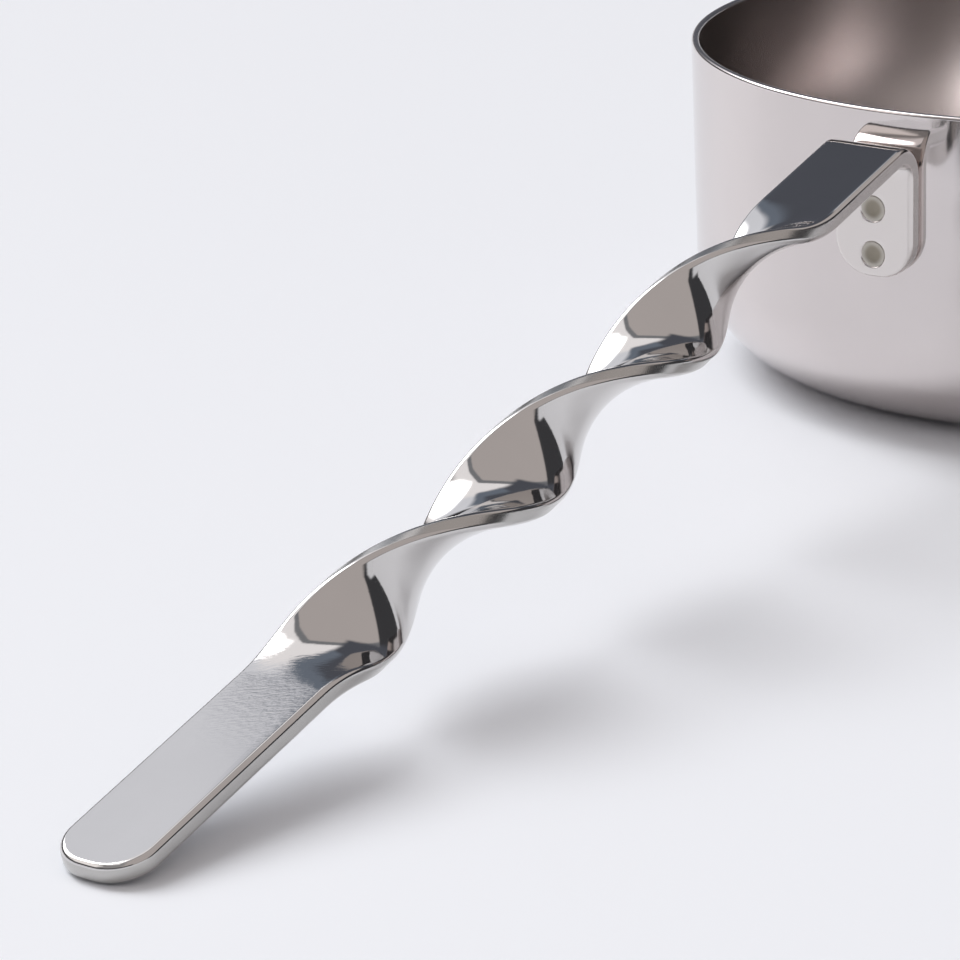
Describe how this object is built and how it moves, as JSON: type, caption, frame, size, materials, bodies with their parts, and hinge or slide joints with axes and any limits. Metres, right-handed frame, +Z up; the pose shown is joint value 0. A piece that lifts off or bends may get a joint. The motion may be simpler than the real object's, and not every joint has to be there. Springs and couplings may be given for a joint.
{
  "type": "metal scoop",
  "caption": "Polished steel measuring scoop: a round straight-sided cup with a flat-bar handle twisted along its length and spot welded to the wall.",
  "frame": {"origin": "centre of the cup's flat base, on the table", "axes": "+Z up the cup's axis, +X from the cup's axis along the handle towards its tip"},
  "size_m": [0.1874, 0.072, 0.032],
  "materials": {
    "cup_steel": "polished stainless steel",
    "bar_steel": "polished stainless steel with fine rolling lines",
    "weld_steel": "heat-tinted weld spot"
  },
  "bodies": {
    "root": {"cup": "cup_steel", "handle_bar": "bar_steel", "spot_weld_upper": "weld_steel", "spot_weld_lower": "weld_steel"}
  },
  "joints": []
}
